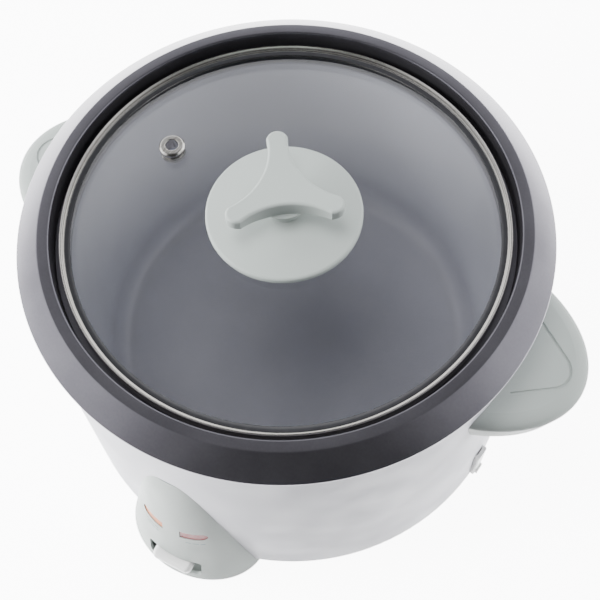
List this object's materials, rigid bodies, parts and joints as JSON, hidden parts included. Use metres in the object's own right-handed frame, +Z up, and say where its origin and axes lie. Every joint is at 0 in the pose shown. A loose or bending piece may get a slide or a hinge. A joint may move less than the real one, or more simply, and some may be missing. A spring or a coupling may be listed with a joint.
{
  "type": "rice cooker",
  "caption": "Round electric rice cooker with a white steel casing, dark non-stick pan, glass lid with three-armed knob, side handles and a lever switch panel.",
  "frame": {"origin": "on the axis of the pan, at the level of the undersides of the feet", "axes": "+Z up, -Y towards the control panel at the front, +X towards the right handle as seen by the user"},
  "size_m": [0.3124, 0.29, 0.1895],
  "materials": {
    "casing_white": "smooth white gloss enamel on pressed steel",
    "trim_black": "matte heat-resistant black plastic",
    "liner_aluminium": "bare rolled aluminium",
    "galvanised_steel": "galvanised sheet steel",
    "foot_rubber": "matte black rubber",
    "fastener_steel": "zinc-plated steel",
    "plastic_grey_green": "satin pale grey-green moulded plastic",
    "plastic_white": "satin white moulded plastic",
    "lens_amber": "translucent amber plastic",
    "lens_red": "translucent red plastic",
    "lamp_glass": "clear glass bulb",
    "inner_plastic": "heat-resistant off-white plastic",
    "element_steel": "heat-tinted steel sheath",
    "plate_aluminium": "cast and turned aluminium",
    "terminal_brass": "nickel-dulled brass",
    "ferrite_dark": "dark grey sintered ferrite",
    "inlet_black": "matte black moulded plastic",
    "wire_brown": "brown silicone sleeve",
    "wire_blue": "blue silicone sleeve",
    "wire_green": "green and yellow silicone sleeve",
    "wire_white": "white silicone sleeve",
    "pan_coating": "dark pearlescent non-stick coating",
    "lid_glass": "clear toughened glass",
    "lid_steel": "polished stainless steel"
  },
  "bodies": {
    "housing": {"base_plate": "galvanised_steel", "base_screws": "fastener_steel", "control_panel": "plastic_grey_green", "cook_lamp": "lamp_glass", "cook_lens": "lens_red", "element_terminals": "terminal_brass", "feet": "foot_rubber", "handle_left": "plastic_grey_green", "handle_right": "plastic_grey_green", "handle_screws": "fastener_steel", "heating_element": "element_steel", "heating_plate": "plate_aluminium", "inlet_pins": "terminal_brass", "inlet_screws": "fastener_steel", "lamp_holder": "inner_plastic", "lever_pin": "fastener_steel", "micro_switch": "inner_plastic", "outer_shell": "casing_white", "panel_screws": "fastener_steel", "plate_posts": "fastener_steel", "plate_screws": "fastener_steel", "power_inlet": "inlet_black", "sensor_guide": "galvanised_steel", "sensor_spring": "fastener_steel", "spatula_holder": "plastic_white", "switch_bracket": "galvanised_steel", "terminal_block": "inner_plastic", "terminal_screws": "fastener_steel", "thermal_fuse": "inlet_black", "top_rim": "trim_black", "warm_lamp": "lamp_glass", "warm_lens": "lens_amber", "warm_thermostat": "inlet_black", "well_liner": "liner_aluminium", "wire_earth": "wire_green", "wire_element": "wire_blue", "wire_fuse": "wire_brown", "wire_lamps": "wire_white", "wire_live": "wire_brown", "wire_neutral": "wire_blue", "wire_switch": "wire_white"},
    "pan": {"cooking_pan": "pan_coating"},
    "lid": {"lid_glass": "lid_glass", "lid_rim": "lid_steel", "steam_vent": "lid_steel", "knob_base": "plastic_grey_green", "knob_grip": "plastic_grey_green", "knob_washer": "lid_steel", "knob_screw": "fastener_steel"},
    "sensor": {"sensor_cap": "plate_aluminium", "sensor_ferrite": "ferrite_dark"},
    "lever": {"lever_paddle": "plastic_white", "lever_arm": "fastener_steel"},
    "magnet": {"magnet": "ferrite_dark", "push_rod": "fastener_steel"}
  },
  "joints": [
    {"name": "pan_lift", "type": "slide", "parent": "housing", "child": "pan", "axis": [0, 0, 1], "range_m": [0, 0.2]},
    {"name": "lid_lift", "type": "slide", "parent": "pan", "child": "lid", "axis": [0, 0, 1], "range_m": [0, 0.1]},
    {"name": "sensor_press", "type": "slide", "parent": "housing", "child": "sensor", "axis": [0, 0, 1], "range_m": [-0.0015, 0], "deforming": ["sensor_spring"]},
    {"name": "lever_swing", "type": "hinge", "parent": "housing", "child": "lever", "pos_m": [0, -0.07, 0.012], "axis": [1, 0, 0], "range_deg": [0, 4]},
    {"name": "magnet_lift", "type": "slide", "parent": "housing", "child": "magnet", "axis": [0, 0, 1], "range_m": [0, 0.0051]}
  ],
  "couplings": [
    {"joint": "magnet_lift", "follows": "lever_swing", "m_per_rad": 0.0725}
  ]
}
